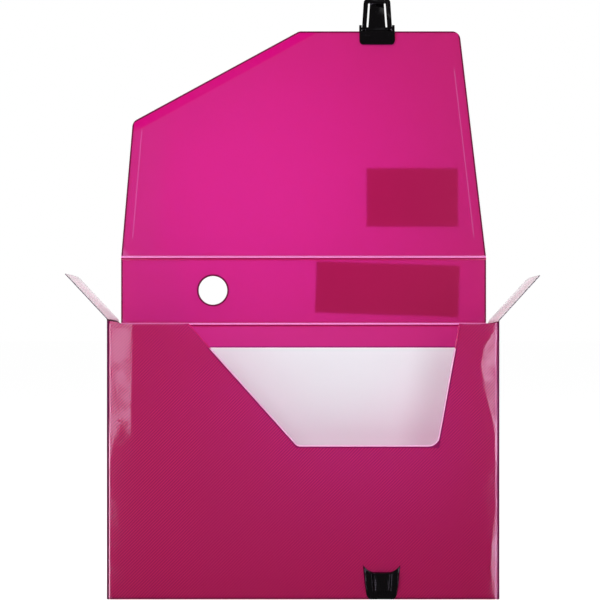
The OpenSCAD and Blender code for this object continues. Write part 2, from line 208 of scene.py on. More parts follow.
def sheet_shader(name, skin=SHEET_SKIN, share=SHEET_SHARE, ribbed=None, rise=None, shown=None,
                 marks=None):
    """A translucent sheet: gloss and colour from its surface, mixed with light from behind it.
    ribbed says where its ribs are, rise how high, and shown how strong the painted light and shade
    of their stripes are.
    marks changes its colour, and may change its share of light from behind and its roughness.
    A rib is a sine of the place along the diagonal of its face, which wanders and fades."""
    shader = Shader(name)
    x, y, z = shader.place()
    cloud = shader.noise(9.0, 2.0)
    grain = shader.noise(700.0, 2.0)
    rough = cloud * 0.05 + grain * 0.03 + 0.05
    height = shader.noise(14.0, 1.0) * 0.025 + grain * 0.006
    colour = shader.mix(cloud, times(skin, [0.94] * 3), times(skin, [1.06] * 3))
    if ribbed:
        outside = ribbed(x, y, z)
        wander = shader.noise(60.0, 2.0)
        rib = ((x + y - z) * (2.0 * math.pi / RIB_PITCH / math.sqrt(2.0)) + wander * 1.6).sine()
        rib = rib * (shader.noise(90.0, 3.0).step(0.38, 0.62) * 0.9 + 0.35) * outside
        height = height + rib * (rise(x, y, z) if rise else RIB_RISE)
        # The stripes paint light and shade on the ribs, in the colour.
        stripe = (rib * (shown(x, y, z) if shown else 1.0) * 0.5 + 0.5).step(0.0, 1.0)
        stripe = shader.mix(stripe, times(skin, RIB_PAINTED_LIGHT), times(skin, RIB_PAINTED_SHADE))
        colour = shader.mix(outside, colour, stripe)
        rough = rough + (rib * 0.5 + 0.5) * outside * 0.05
    shader.share, shader.rough = share, rough
    if marks:
        colour = marks(shader, (x, y, z), colour)
    surface = shader.glossy(colour, shader.rough, shader.bump(height, 0.6 * MM), level=0.45)
    return shader.show_lit_through(surface, shader.share, SHEET_GLOW)


def paint(node, material):
    """Gives a CAD node one material."""
    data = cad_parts[node].data
    data.materials.clear()
    data.materials.append(material)


SHEET_T = 0.8 * MM
FOLD_R = 2.5 * MM
SIDE_X, _, BOX_H = span("front_panel")[1]
BACK_Y = span("back_panel")[1][1]
CARD_TOP = span("insert_card")[1][2]


def outer_walls(x, y, z):
    """1 on the side walls' outer faces, and on their rounded rear folds."""
    return (x.size() - y.step(BACK_Y - 3.3 * MM, BACK_Y - SHEET_T) * -FOLD_R).step(
        SIDE_X - 0.7 * MM, SIDE_X - 0.3 * MM)


def card_shadow(shader, place, colour):
    """A painted shadow: the back panel's inner face is darker in a fine line over the card's upper
    edge.
    """
    line = place[2].band(CARD_TOP + 0.6 * MM, 0.35 * MM, 0.5 * MM)
    line = line * place[0].size().step(148 * MM, 146 * MM)
    return shader.mix(line * 0.7, colour, SHEET_DARK_AND_SHADE)


def rear_face(x, y, z):
    """1 on the outer face of the back panel and of the open cover."""
    return y.step(BACK_Y - 0.3 * MM, BACK_Y - 0.1 * MM)


wall_sheet = sheet_shader("wall_sheet", ribbed=outer_walls)
back_sheet = sheet_shader("back_sheet", BACK_SKIN, ribbed=rear_face, marks=card_shadow)
inner_sheet = sheet_shader("inner_sheet")
for name in ("left_wall", "right_wall"):
    paint(name, wall_sheet)
paint("back_panel", back_sheet)
for name in ("bottom_panel", "left_weld_tab", "right_weld_tab", "left_bottom_tab",
             "right_bottom_tab"):
    paint(name, inner_sheet)

# The front panel, with its two rounded folds and its slanted cut-out: the same sheet, slightly
# drawn in beside the folds, where it catches the light. The upright folds are darkened with painted
# shade.

FRONT_Y = span("front_panel")[0][1]
# The corners of the cut-out, in mm: x, z and radius. BEVEL is the slant of its cut edge.
CUT_OUT = ((-97.7, 232.0, 0.0), (-5.0, 128.5, 6.0), (113.5, 128.5, 10.0), (132.3, 232.0, 0.0))
BEVEL = 1.1
FRONT_SKIN = (0.765, 0.0215, 0.162)
# The painted shade towards the front's lower right
FOOT_SHADE = (0.46, 0.011, 0.088)
# The painted highlight and the painted shade of the upright folds
FOLD_HIGHLIGHT, FOLD_SHADE = (0.75, 0.24, 0.41), (0.075, 0.008, 0.03)
# The painted light of the slanted cut edge in front of the card, and its plain colour above it
CUT_PAINTED_LIGHT, CUT_PLAIN = (1.0, 0.52, 0.80), (0.58, 0.018, 0.14)


def placed(name, data):
    """An object of this mesh, lamp or camera, linked to the scene."""
    piece = bpy.data.objects.new(name, data)
    bpy.context.scene.collection.objects.link(piece)
    return piece


def shell(name, outer, inner, materials, uv=None):
    """A closed sheet between two grids of points of one size: the outer grid, the inner grid turned
    round, and a strip round their four sides. materials are those of the three."""
    rows, columns = outer.shape[:2]
    count = rows * columns
    index = np.arange(count).reshape(rows, columns)
    face = np.stack([index[:-1, :-1], index[1:, :-1], index[1:, 1:], index[:-1, 1:]], -1)
    face = face.reshape(-1, 4)
    loop = np.concatenate([index[0, :-1], index[:-1, -1], index[-1, :0:-1], index[:0:-1, 0]])
    after = np.roll(loop, -1)
    rim = np.stack([loop, after, after + count, loop + count], -1)
    faces = np.concatenate([face, face[:, ::-1] + count, rim])
    kinds = np.repeat([0, 1, 2], [len(face), len(face), len(rim)])
    points = np.concatenate([outer.reshape(-1, 3), inner.reshape(-1, 3)])
    a, b, c, d = (points[faces[:, k]] for k in range(4))
    if (np.cross(c - a, d - b) * (a + b + c + d)).sum() < 0:
        faces = faces[:, ::-1]
    mesh = bpy.data.meshes.new(name)
    mesh.from_pydata(points, [], faces.tolist())
    mesh.polygons.foreach_set("material_index", kinds)
    mesh.polygons.foreach_set("use_smooth", np.ones(len(faces), bool))
    if uv is None:
        uv = np.stack(np.meshgrid(np.linspace(0, 1, rows), np.linspace(0, 1, columns),
                                  indexing="ij"), -1)
    corner = np.zeros(len(mesh.loops), np.int32)
    mesh.loops.foreach_get("vertex_index", corner)
    flat = np.tile(uv.reshape(-1, 2), (2, 1))[corner]
    mesh.uv_layers.new(name="UVMap").data.foreach_set("uv", flat.ravel())
    for material in materials:
        mesh.materials.append(material)
    mesh.set_sharp_from_angle(angle=math.radians(40))
    mesh.validate()
    return placed(name, mesh)


def filleted(points):
    """The outline through points (x, z, radius) with each corner made an arc of its radius."""
    line = [points[0][:2]]
    for before, (x, z, r), after in zip(points, points[1:], points[2:]):
        b = np.array((x, z))
        ua, uc = (np.array(p[:2]) - b for p in (before, after))
        ua, uc = ua / np.linalg.norm(ua), uc / np.linalg.norm(uc)
        half = math.acos(float(ua @ uc)) / 2
        middle = b + (ua + uc) / np.linalg.norm(ua + uc) * r / math.sin(half)
        start = b + ua * r / math.tan(half) - middle
        turn = -np.sign(ua[0] * uc[1] - ua[1] * uc[0]) * (math.pi - 2 * half)
        angles = np.linspace(0, turn, 10)
        line += [(middle[0] + start[0] * math.cos(t) - start[1] * math.sin(t),
                  middle[1] + start[0] * math.sin(t) + start[1] * math.cos(t)) for t in angles]
    return np.array(line + [points[-1][:2]]) * MM


def narrowed(points, by):
    """The outline moved into the opening by a distance: its floor rises, and its sides close in."""
    (ax, az, _), (bx, bz, b_r), (cx, cz, c_r), (dx, dz, _) = points
    left, right = (bx - ax) / (az - bz), (cx - dx) / (dz - cz)
    step_left, step_right = by * math.hypot(1, left), by * math.hypot(1, right)
    return ((ax + step_left, az, 0.0), (bx + step_left - by * left, bz + by, b_r - by),
            (cx - step_right - by * right, cz + by, c_r - by), (dx - step_right, dz, 0.0))


def ease(value, low, high):
    """0 below low, 1 above high, and a smooth rise between them. high may be the lower one."""
    t = np.clip((value - low) / (high - low), 0, 1)
    return t * t * (3 - 2 * t)


# Where the sheet is drawn in beside each upright fold: an even slope, from an inner border (its
# heights and its distances from the middle) down to a lower end (its distances and its heights)
PUCKER_SLOPE, PUCKER_START, PUCKER_STEP = 0.080, 130.0, 0.25
PUCKER_X = np.arange(PUCKER_START, 163.0 + PUCKER_STEP, PUCKER_STEP)
PUCKER_Z = np.arange(0.0, 233.0)
LEFT_BORDER = ([0, 130, 150, 232], [146.5, 146.5, 144.6, 144.0])
LEFT_END = ([144, 145.6, 152.3, 158, 163], [150, 137, 151, 139, 122])
RIGHT_BORDER = ([0, 6, 25, 45, 75, 142, 155, 168, 180, 197, 214, 227, 232],
                [163, 160, 158, 158.5, 163, 161.3, 158.4, 155.4, 152, 149.6, 152.3, 161.6, 163])
RIGHT_END = ([130, 163], [-9, -9])


def pucker(border, end):
    """How far the front face lies back near a side, in mm, by width and by height: the sum over the
    width of its slope, which is even inside the pucker and 0 outside it."""
    x, z = PUCKER_X[:, None], PUCKER_Z[None, :]
    border, end = np.interp(z, *border), np.interp(x, *end)
    inside = ease(x, border - 0.8, border + 0.8) * ease(z, end - 4.0, end + 4.0)
    return np.cumsum(PUCKER_SLOPE * PUCKER_STEP * inside, axis=0)


PUCKERS = [pucker(LEFT_BORDER, LEFT_END), pucker(RIGHT_BORDER, RIGHT_END)]


def drawn_in(x, z):
    """How far the front face lies back at x and z: its puckers, read between their rows and
    columns. It dies out over the fold itself."""
    across = (np.abs(x) / MM - PUCKER_START) / PUCKER_STEP
    across = np.clip(across, 0, len(PUCKER_X) - 1.001)
    up = np.clip(z / MM, 0, len(PUCKER_Z) - 1.001)
    i, j = across.astype(int), up.astype(int)
    a, b = across - i, up - j
    depth = [(p[i, j] * (1 - a) + p[i + 1, j] * a) * (1 - b) +
             (p[i, j + 1] * (1 - a) + p[i + 1, j + 1] * a) * b for p in PUCKERS]
    return np.where(x < 0, *depth) * np.clip((SIDE_X - np.abs(x)) / FOLD_R, 0, 1) * MM


def front_sheet(x, y, low, top, inner_top=None, rows=100):
    """The outer and inner grid of a piece of the front sheet. Its plan runs through x and y, and
    each column rises from low to top. The inner face is the outer one moved by the sheet's
    thickness, towards the fold's centre on a fold and straight back on the flat."""
    out_x = np.sign(x) * np.clip(np.abs(x) - (SIDE_X - FOLD_R), 0, None)
    inward = np.stack([-out_x, FRONT_Y + FOLD_R - y, 0 * x], -1)[:, None] * (SHEET_T / FOLD_R)
    grids = []
    for edge in (top, top if inner_top is None else inner_top):
        zs = low + np.linspace(0, 1, rows)[None, :] * (edge - low)[:, None]
        xs = np.broadcast_to(x[:, None], zs.shape)
        grids.append(np.stack([xs, y[:, None] + drawn_in(xs, zs), zs], -1))
    return grids[0], grids[1] + inward


def fold_plan():
    """The plan of the right upright fold's outer face, from the side wall: a quarter circle."""
    arc = np.linspace(0, math.pi / 2, 9)
    return (SIDE_X - FOLD_R + FOLD_R * np.cos(arc), FRONT_Y + FOLD_R - FOLD_R * np.sin(arc))


def front_plan():
    """The plan of the front face from one side wall to the other: a quarter circle, the flat and a
    quarter circle. The flat has a point at each point of the cut-out. The die leaves the cut edge
    slanted, so the inner face reaches further into the opening than the outer one."""
    mouth, inner_mouth = filleted(CUT_OUT), filleted(narrowed(CUT_OUT, BEVEL))
    flat = np.concatenate([np.arange(-162, 163, 3) * MM, np.arange(142.5, 163) * -MM,
                           np.arange(148.5, 163) * MM, mouth[:, 0], inner_mouth[:, 0],
                           np.linspace(mouth[-5, 0], mouth[-1, 0], 40)])
    flat = np.unique(np.round(flat, 6))
    fold_x, fold_y = fold_plan()
    x = np.concatenate([-fold_x, flat, fold_x[::-1]])
    y = np.concatenate([fold_y, np.full(len(flat), FRONT_Y), fold_y[::-1]])
    return x, y, [np.interp(x, line[:, 0], line[:, 1]) for line in (mouth, inner_mouth)]


def beside_cut(place):
    """The distance of a point of the front face from the cut-out: the largest of its distances from
    the lines of the cut-out's two sides and its floor."""
    x, _, z = place
    (ax, az, _), (bx, bz, _), (cx, cz, _), (dx, dz, _) = CUT_OUT
    left, right = (bx - ax) / (az - bz), (dx - cx) / (dz - cz)
    from_left = ((az * MM - z) * left - (x - ax * MM)) * (1 / math.hypot(1, left))
    from_right = (x - dx * MM + (dz * MM - z) * right) * (1 / math.hypot(1, right))
    return from_left.larger(from_right).larger(bz * MM - z)


def painted_fold_shade(shader, place, colour):
    """Painted shade darkens the upright folds' outer faces."""
    dark = place[0].size().step(SIDE_X - 2.3 * MM, SIDE_X - 2.0 * MM)
    return shader.mix(dark, colour, FOLD_SHADE)


def front_marks(shader, place, colour):
    """The painted shade towards the lower right, the painted highlight under the top edge, the dark
    lines round the cut-out and over the foot, and the painted highlight beside each fold's painted
    shade."""
    x, _, z = place
    # Painted shade towards the lower right.
    low = (z - x * 0.35).step(0.18, -0.06)
    colour = shader.mix(low * 0.55, colour, FOOT_SHADE)
    cut = beside_cut(place)
    # A painted highlight under the top edge.
    top = z.step(BOX_H - 1.5 * MM, BOX_H - 0.9 * MM) * cut.step(0.8 * MM, 3.0 * MM)
    top = top * x.size().step(SIDE_X - 12 * MM, SIDE_X - 18 * MM)
    colour = shader.mix(top * 0.3, colour, SHEET_PALE_AND_HIGHLIGHT)
    foot = z.band(0.9 * MM, 0.5 * MM, 0.5 * MM) * 0.7
    before_card = z.step(CARD_TOP + 2 * MM, CARD_TOP - 1 * MM)
    rim = cut.step(1.5 * MM, 0.9 * MM) * (before_card * 0.65 + 0.2)
    colour = shader.mix(foot.larger(rim), colour, SHEET_DARK_AND_SHADE)
    # Painted highlights beside the right and the left fold.
    right = x.band(SIDE_X - 3.1 * MM, 0.6 * MM, 0.6 * MM)
    colour = shader.mix(right * 0.75, colour, SHEET_PALE_AND_HIGHLIGHT)
    left = (x * -1.0).band(SIDE_X - 2.7 * MM, 0.35 * MM, 0.2 * MM)
    colour = shader.mix(left, colour, FOLD_HIGHLIGHT)
    shader.share = SHEET_SHARE - left * 0.5
    return painted_fold_shade(shader, place, colour)


def edge_marks(shader, place, colour):
    """The slanted cut edge has painted light where the card is behind it, and is plain above the
    card.
    """
    return shader.mix(place[2].step(CARD_TOP - 1 * MM, CARD_TOP + 1 * MM), colour, CUT_PLAIN)


def outer_front(x, y, z):
    """1 on the front face, falling to 0 over the side walls."""
    return y.step(-20 * MM, -25 * MM)


def rib_rise(x, y, z):
    """The ribs stand higher beside the folds."""
    return x.size().step(130 * MM, 145 * MM) * 0.016 + RIB_RISE


def rib_contrast(x, y, z):
    """The painted light and shade of the ribs is faint at the top, and strongest at the lower left.
    """
    lower_left = z.step(160 * MM, 70 * MM) * x.step(20 * MM, -120 * MM)
    return z.step(225 * MM, 120 * MM) * 0.8 + lower_left * 1.6 + 0.4


front_ribbed = sheet_shader("front_sheet", FRONT_SKIN, ribbed=outer_front, rise=rib_rise,
                            shown=rib_contrast, marks=front_marks)
cut_edge = sheet_shader("cut_edge", CUT_PAINTED_LIGHT, share=0.2, marks=edge_marks)
x, y, (top, inner_top) = front_plan()
front_panel = shell("front_panel_sheet", *front_sheet(x, y, 0.0, top, inner_top),
                    [front_ribbed, inner_sheet, cut_edge])
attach(front_panel, "box")
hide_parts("front_panel")

# The two top corners of the front sheet stand up a little beside the dust flaps: the same sheet, so
# only its shape differs. The spine presses them down when it closes over them, but here they keep
# their raised shape.

# Of each corner: its side, and its distances from the side wall with its heights, in mm
EARS = {"left": (-1, (0, 3.6, 7.1, 9.6, 12.0), (3.87, 3.4, 2.8, 1.6, 0.12)),
        "right": (1, (0, 3.0, 6.0, 9.0, 12.0), (1.9, 1.5, 0.7, 0.3, 0.12))}
EAR_DARK = (0.05, 0.008, 0.02)


def corner_marks(shader, place, colour):
    """The cut edge of a corner, which looks dark, and the painted shade down its fold."""
    edge = shader.along()[1].step(0.48, 0.64)
    colour = shader.mix(edge, colour, EAR_DARK)
    shader.share, shader.rough = SHEET_SHARE - edge * 0.5, edge * 0.5 + 0.2
    return painted_fold_shade(shader, place, colour)


corner_sheet = sheet_shader("corner_sheet", FRONT_SKIN, marks=corner_marks)
for side, (sign, reach, height) in EARS.items():
    fold_x, fold_y = fold_plan()
    flat = np.linspace(SIDE_X - FOLD_R - 0.3 * MM, SIDE_X - 12 * MM, 20)
    x = np.concatenate([fold_x, flat])
    y = np.concatenate([fold_y, np.full(len(flat), FRONT_Y)])
    lift = np.interp((SIDE_X - x) / MM, reach, height) * MM
    ear = shell("front_corner_" + side, *front_sheet(sign * x, y, BOX_H, BOX_H + lift, rows=6),
                [corner_sheet, inner_sheet, corner_sheet])
    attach(ear, "box")
    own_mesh(ear)

# The cover: the spine and the lid, the same sheet. Its cut edges look dark. Two fine score lines
# run beside the lid's leaning edges, and a band inside its slanted edge has painted light, for the
# light that leaves the sheet there.

LID_Z = span("lid_crease")[1][2] - SHEET_T / 2
LID_TOP = span("lid_panel")[1][2]
# The height of the lid's left side, how far it leans in, and the slopes of the leaning edges
LID_SIDE, LID_IN = 121.6 * MM, 10.4 * MM
LEFT_LEAN, RIGHT_LEAN, SLANT = LID_IN / LID_SIDE, 23.9 / 203.0, 81.4 / 149.5
COVER_X = span("spine_panel")[1][0]
# The rim of the cover, its left part and the left end of its spine have painted shade and sheen:
# darker, greyer colours
RIM_SHADE_SHEEN, LEFT_SHEEN, END_SHEEN = (0.62, 0.050, 0.13), (0.72, 0.055, 0.17), (0.68, 0.05, 0.15)
SLANT_PAINTED_LIGHT = (0.76, 0.0003, 0.225)
HOLE_X, HOLE_Z, HOLE_R = -81.5 * MM, 262.55 * MM, 12.9 * MM


def lid_edges(place):
    """How far a point of the lid lies inside its left, right, slanted and top edges."""
    x, _, z = place
    above = z - LID_Z
    left = x + COVER_X - above * LEFT_LEAN
    right = COVER_X - above * RIGHT_LEAN - x
    slant = (above - LID_SIDE - (x + COVER_X - LID_IN) * SLANT) * (-1.0 / math.hypot(1.0, SLANT))
    return left, right, slant, LID_TOP - z


def rim_shade_and_sheen(shader, place, colour):
    """Painted shade and sheen: the cover is darker and greyer towards its rim."""
    x, _, z = place
    away = ((x + 0.02) * (x + 0.02) + (z - 0.37) * (z - 0.37)).root()
    return shader.mix(away.step(0.05, 0.21) * 0.25, colour, RIM_SHADE_SHEEN)


def lid_marks(shader, place, colour):
    """The painted sheen on a strip beside the lid's left edge, the score lines at its sides, the
    painted light in a band inside its slanted edge, the painted highlight on its lower left corner,
    and the dark cut edges."""
    left, right, slant, top = lid_edges(place)
    z = place[2]
    colour = rim_shade_and_sheen(shader, place, colour)
    # Painted sheen beside the left edge.
    left_sheen = left.step(44 * MM, 20 * MM) * z.step(470 * MM, 380 * MM)
    colour = shader.mix(left_sheen * 0.25, colour, LEFT_SHEEN)
    score = left.band(8.9 * MM, 0.25 * MM, 0.35 * MM) * z.band(358 * MM, 46 * MM, 5 * MM)
    score = score + right.band(8.8 * MM, 0.25 * MM, 0.35 * MM) * z.band(386 * MM, 72 * MM, 6 * MM)
    colour = shader.mix(score * 0.55, colour, SHEET_PALE_AND_HIGHLIGHT)
    # Painted light in a band inside the slanted edge.
    lit = slant.band(5.0 * MM, 2.6 * MM, 2.6 * MM) * z.step(400 * MM, 412 * MM)
    lit = lit * (shader.noise(120.0, 2.0) * 0.3 + 0.82)
    colour = shader.mix(lit, colour, SLANT_PAINTED_LIGHT)
    # A painted highlight on the lower left corner.
    corner = (left + (z - LID_Z) * 0.9).step(11 * MM, 6 * MM)
    colour = shader.mix(corner * 0.4, colour, SHEET_PALE_AND_HIGHLIGHT)
    edge = (left * -1.0).larger(right * -1.0).larger(slant * -1.0).larger(top * -1.0)
    edge = edge.step(-1.7 * MM, -1.1 * MM)
    shader.share = (SHEET_SHARE - lit * 0.32) * (1.0 - edge * 0.8)
    return shader.mix(edge, colour, SHEET_DARK_AND_SHADE)


def spine_marks(shader, place, colour):
    """The painted sheen on its left end, its pale lower corner, and the dark cut edges at the
    spine's ends and round its finger hole."""
    x, _, z = place
    hole = ((x - HOLE_X) * (x - HOLE_X) + (z - HOLE_Z) * (z - HOLE_Z)).root()
    edge = x.size().step(COVER_X - 1.7 * MM, COVER_X - 1.1 * MM)
    ring = hole.step(HOLE_R + 1.8 * MM, HOLE_R + 1.1 * MM)
    corner = (x + COVER_X + (z - 233 * MM)).step(6.5 * MM, 4.5 * MM)
    colour = rim_shade_and_sheen(shader, place, colour)
    # Painted sheen on the spine's left end.
    colour = shader.mix(x.step(-100 * MM, -124 * MM) * 0.15, colour, END_SHEEN)
    colour = shader.mix(corner * 0.3, colour, SHEET_PALE_AND_HIGHLIGHT)
    edge = edge.larger(ring)
    shader.share = SHEET_SHARE - edge * 0.45
    return shader.mix(edge, colour, SHEET_DARK_AND_SHADE)


paint("spine_panel", sheet_shader("spine_sheet", ribbed=rear_face, marks=spine_marks))
paint("lid_panel", sheet_shader("lid_sheet", ribbed=rear_face, marks=lid_marks))

# The two creases of the cover, pressed so that the sheet bends there: a bright web, where the sheet
# is thin and light comes through, over a low ridge in its own shade. The web's light and the
# ridge's shade are painted in its colour.

# Of each crease: the two bodies that it joins, and how far its web lies above its axis, in mm
CREASES = {"back_crease": ("box", "spine", 0.0), "lid_crease": ("spine", "lid", 0.35)}
CREASE_LOW, CREASE_HIGH, WEB = -2.7, 1.3, 0.72
WEB_PAINTED_LIGHT = (1.0, 0.36, 0.84)


def crease_shader(name, shift):
    """A crease's material, by its own UV map: the painted shade of the ridge, and the painted light
    of the web above it.
    """
    shader = Shader(name)
    height = shader.along()[1] * (CREASE_HIGH - CREASE_LOW) + (CREASE_LOW - shift)
    web = height.band(0.0, WEB, 0.25)
    # Painted shade under the ridge, and painted light on the web.
    colour = shader.mix(height.band(-1.55, 0.2, 0.35) * 0.8, SHEET_SKIN, SHEET_DARK_AND_SHADE)
    colour = shader.mix(web, colour, WEB_PAINTED_LIGHT)
    colour = shader.mix(shader.noise(500.0) * 0.15, colour, SHEET_SKIN)
    skin = shader.glossy(colour, 0.3, level=0.35)
    return shader.show_lit_through(skin, SHEET_SHARE - web * 0.5, SHEET_GLOW)


# Across a crease, in mm above its axis: a skirt over the panels, a low ridge, and the web, which is
# thinned from both faces. The ridge and the web are bell curves.
for name, (*pair, shift) in CREASES.items():
    axis_z = (span(name)[1][2] - SHEET_T / 2) / MM
    above = np.linspace(CREASE_LOW, CREASE_HIGH, 33)
    z = (axis_z + above) * MM
    skirt = 0.04 * np.clip(np.minimum(above - CREASE_LOW, CREASE_HIGH - above) / 0.2, 0, 1)
    ridge = 0.22 * np.exp(-((above + 1.2) / 0.45) ** 2)
    web = 0.30 * np.exp(-(above / 0.6) ** 2)
    inner_y = (BACK_Y - SHEET_T) - (skirt + ridge - web) * MM
    outer_y = BACK_Y - (0.1 + 0.25 * np.exp(-(above / 0.5) ** 2)) * MM
    x = np.linspace(-COVER_X, COVER_X, 120)[:, None]
    grids = [np.stack(np.broadcast_arrays(x, y[None, :], z[None, :]), -1)
             for y in (outer_y, inner_y)]
    crease = shell(name + "_line", *grids, [crease_shader(name + "_sheet", shift)] * 3)
    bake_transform(crease)
    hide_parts(name)

# The dust flaps on the side walls' top edges: the same stock, but frosted and nearly clear, bent up
# from the wall and then out. Their cut edges look grey.

# Of each flap: its side, and the places (x, z) of its root, its bend and its tip, in mm
FLAPS = {"left": (-1, (165.1, 230.9), (165.1, 235.7), (200.8, 274.0)),
         "right": (1, (165.1, 230.9), (165.1, 234.5), (199.8, 272.65))}
FLAP_FRONT, FLAP_BACK, FLAP_R, FLAP_BEND = -26.2, 21.5, 6.0, 1.3
FROST, FROST_PINK, FROST_PALE = (1.0, 1.0, 1.0), (0.97, 0.90, 0.93), (1.0, 0.99, 1.0)
FROST_ROOT, FROST_GRAIN, FROST_GLOW = (0.98, 0.66, 0.80), (0.84, 0.76, 0.80), (1.0, 0.93, 0.96)


def flap_shader():
    """Frosted sheet: white at its front, pinker in the middle and at its root, and paler behind."""
    shader = Shader("flap_sheet")
    along, across = shader.along()
    grain = shader.noise(160.0, 2.0)
    colour = shader.mix(across.step(0.16, 0.34), FROST, FROST_PINK)
    colour = shader.mix(across.step(0.62, 0.80), colour, FROST_PALE)
    colour = shader.mix(along.step(0.16, 0.03) * 0.4, colour, FROST_ROOT)
    colour = shader.mix(grain * 0.08, colour, FROST_GRAIN)
    skin = shader.glossy(colour, grain * 0.1 + 0.4, shader.bump(grain, 0.004 * MM, 0.3), level=0.3)
    return shader.show_lit_through(skin, 0.45, FROST_GLOW)


def grey_edge():
    """A cut edge of the clear sheet, which looks grey."""
    shader = Shader("flap_edge")
    colour = shader.mix(shader.noise(160.0), (0.06, 0.05, 0.055), (0.12, 0.10, 0.11))
    return shader.show(shader.glossy(colour, 0.35))


def flap_grids(sign, root, bend, tip):
    """The outer and inner grid of a flap, and its UV map by its length and its depth. Its line is
    upright to the bend, a parabola through it, and straight to the tip. Its faces lie half the
    sheet's thickness to both sides, and its rear tip corner is a quarter circle."""
    length = np.linalg.norm(tip - bend)
    out = (tip - bend) / length
    t = np.linspace(0, 1, 8)[:, None]
    lead, tail = bend - (0, FLAP_BEND), bend + FLAP_BEND * out
    curve = (1 - t) ** 2 * lead + 2 * t * (1 - t) * bend + t ** 2 * tail
    turn = np.linspace(0, math.pi / 2, 12)[1:]
    straight = np.concatenate([np.linspace(FLAP_BEND, length - FLAP_R, 14)[1:],
                               length - FLAP_R * np.cos(turn)])
    line = np.concatenate([np.linspace(root, lead, 5)[:-1], curve, bend + straight[:, None] * out])
    inset = np.zeros(len(line))
    in_corner = np.clip(straight - (length - FLAP_R), 0, FLAP_R)
    inset[-len(straight):] = FLAP_R - np.sqrt(FLAP_R ** 2 - in_corner ** 2)
    tangent = np.gradient(line, axis=0)
    tangent /= np.linalg.norm(tangent, axis=1)[:, None]
    normal = np.stack([-tangent[:, 1], tangent[:, 0]], -1) * (SHEET_T / MM / 2)
    across = np.linspace(0, 1, 20)
    y = FLAP_FRONT + across[None, :] * (FLAP_BACK - inset - FLAP_FRONT)[:, None]
    grids = []
    for way in (-1, 1):
        edge = (line + way * normal)[:, None, :]
        grids.append(np.stack(np.broadcast_arrays(sign * edge[..., 0], y, edge[..., 1]), -1) * MM)
    gone = np.concatenate([[0], np.cumsum(np.linalg.norm(np.diff(line, axis=0), axis=1))])
    return (*grids, np.stack(np.broadcast_arrays(gone[:, None] / gone[-1], across[None, :]), -1))


flap_skin, flap_rim = flap_shader(), grey_edge()
for side, (sign, *line) in FLAPS.items():
    *grids, uv = flap_grids(sign, *np.array(line))
    flap = shell(side + "_flap_sheet", *grids, [flap_skin, flap_skin, flap_rim], uv)
    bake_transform(flap)
    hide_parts(side + "_flap", side + "_flap_crease")

# The two stick-on labels on the cover's outer face, blank white paper with a soft sheen. From
# inside they show dark, because they keep the light out.


def paper(name, colour, shade, rough=0.55, light_paint=None):
    """Smooth paper or card: a faint cloud of shade, fine fibres and a soft sheen."""
    shader = Shader(name)
    tint = shader.mix(shader.noise(25.0, 4.0) * 0.5, colour, shade)
    # Painted light may be added to the colour here.
    if light_paint:
        tint = light_paint(shader, shader.place(), tint)
    fibre = shader.noise(1500.0, 4.0)
    normal = shader.bump(fibre, 0.05 * MM, 0.5)
    return shader.show(shader.glossy(tint, fibre * 0.1 + rough, normal, level=0.3))


label_paper = paper("label_paper", (0.86, 0.86, 0.87), (0.80, 0.80, 0.82), 0.4)
for name in ("spine_label", "lid_label"):
    paint(name, label_paper)

# The insert card that stands against the back panel: smooth white A4 card. Its upper edge has a
# painted highlight, and towards its lower right it has painted pink light from the sheet.

CARD_FACE, CARD_CLOUD = (0.905, 0.92, 0.965), (0.895, 0.90, 0.95)
# The card's painted pink light and painted edge highlight
CARD_PINK_LIGHT, CARD_EDGE_HIGHLIGHT = (1.0, 0.76, 0.91), (1.0, 0.97, 1.0)


def card_tint(shader, place, tint):
    """The painted pink light on the card's lower right, and the painted highlight on its upper
    edge.
    """
    x, _, z = place
    low = (x * 0.55 - z).step(-0.16, -0.03)
    tint = shader.mix(low * 0.5, tint, CARD_PINK_LIGHT)
    edge = z.step(CARD_TOP - 1.7 * MM, CARD_TOP - 1.0 * MM)
    return shader.mix(edge * 0.9, tint, CARD_EDGE_HIGHLIGHT)


paint("insert_card", paper("card_face", CARD_FACE, CARD_CLOUD, 0.45, card_tint))

# The clasp on the lid's free edge and the catch on the front panel: glossy black mouldings with
# softened edges, riveted through the sheet to plates inside. The lever turns on a pin.


BLACK, HIGHLIGHT_GREY = (0.0018, 0.0013, 0.0018), (0.022, 0.022, 0.025)


def black_gloss(name, highlight_line=None):
    """Glossy black plastic: nearly even, with fine handling marks in its gloss. Its last argument
    says where a painted grey highlight lies."""
    shader = Shader(name)
    smear = shader.noise(180.0, 5.0, roughness=0.6)
    colour = shader.mix(smear * 0.5, BLACK, times(BLACK, [1.8] * 3))
    if highlight_line:
        colour = shader.mix(highlight_line(*shader.place()) * smear.step(0.2, 0.6), colour, HIGHLIGHT_GREY)
    scratch = shader.noise(2500.0, 2.0)
    normal = shader.bump(smear * 0.15 + scratch * 0.05, 0.05 * MM, 0.5)
    return shader.show(shader.glossy(colour, smear * 0.12 + 0.10, normal, level=0.4))


def soft_edged(node, radius, body, material):
    """A copy of a CAD node whose triangles are joined to flat faces and whose edges are rounded."""
    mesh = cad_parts[node].data.copy()
    shape = bmesh.new()
    shape.from_mesh(mesh)
    bmesh.ops.remove_doubles(shape, verts=shape.verts, dist=1e-6)
    bmesh.ops.dissolve_limit(shape, angle_limit=math.radians(2), verts=shape.verts,
                             edges=shape.edges)
    for face in shape.faces:
        face.smooth = True
    shape.to_mesh(mesh)
    shape.free()
    mesh.materials.clear()
    mesh.materials.append(material)
    piece = placed(node + "_moulding", mesh)
    edge = piece.modifiers.new("edge", "BEVEL")
    edge.width, edge.segments, edge.limit_method = radius, 3, "ANGLE"
    edge.angle_limit, edge.harden_normals = math.radians(32), True
    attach(piece, body)
    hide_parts(node)


CATCH_LOW, CATCH_HIGH = span("catch")
LATCH_X = (CATCH_LOW[0] + CATCH_HIGH[0]) / 2


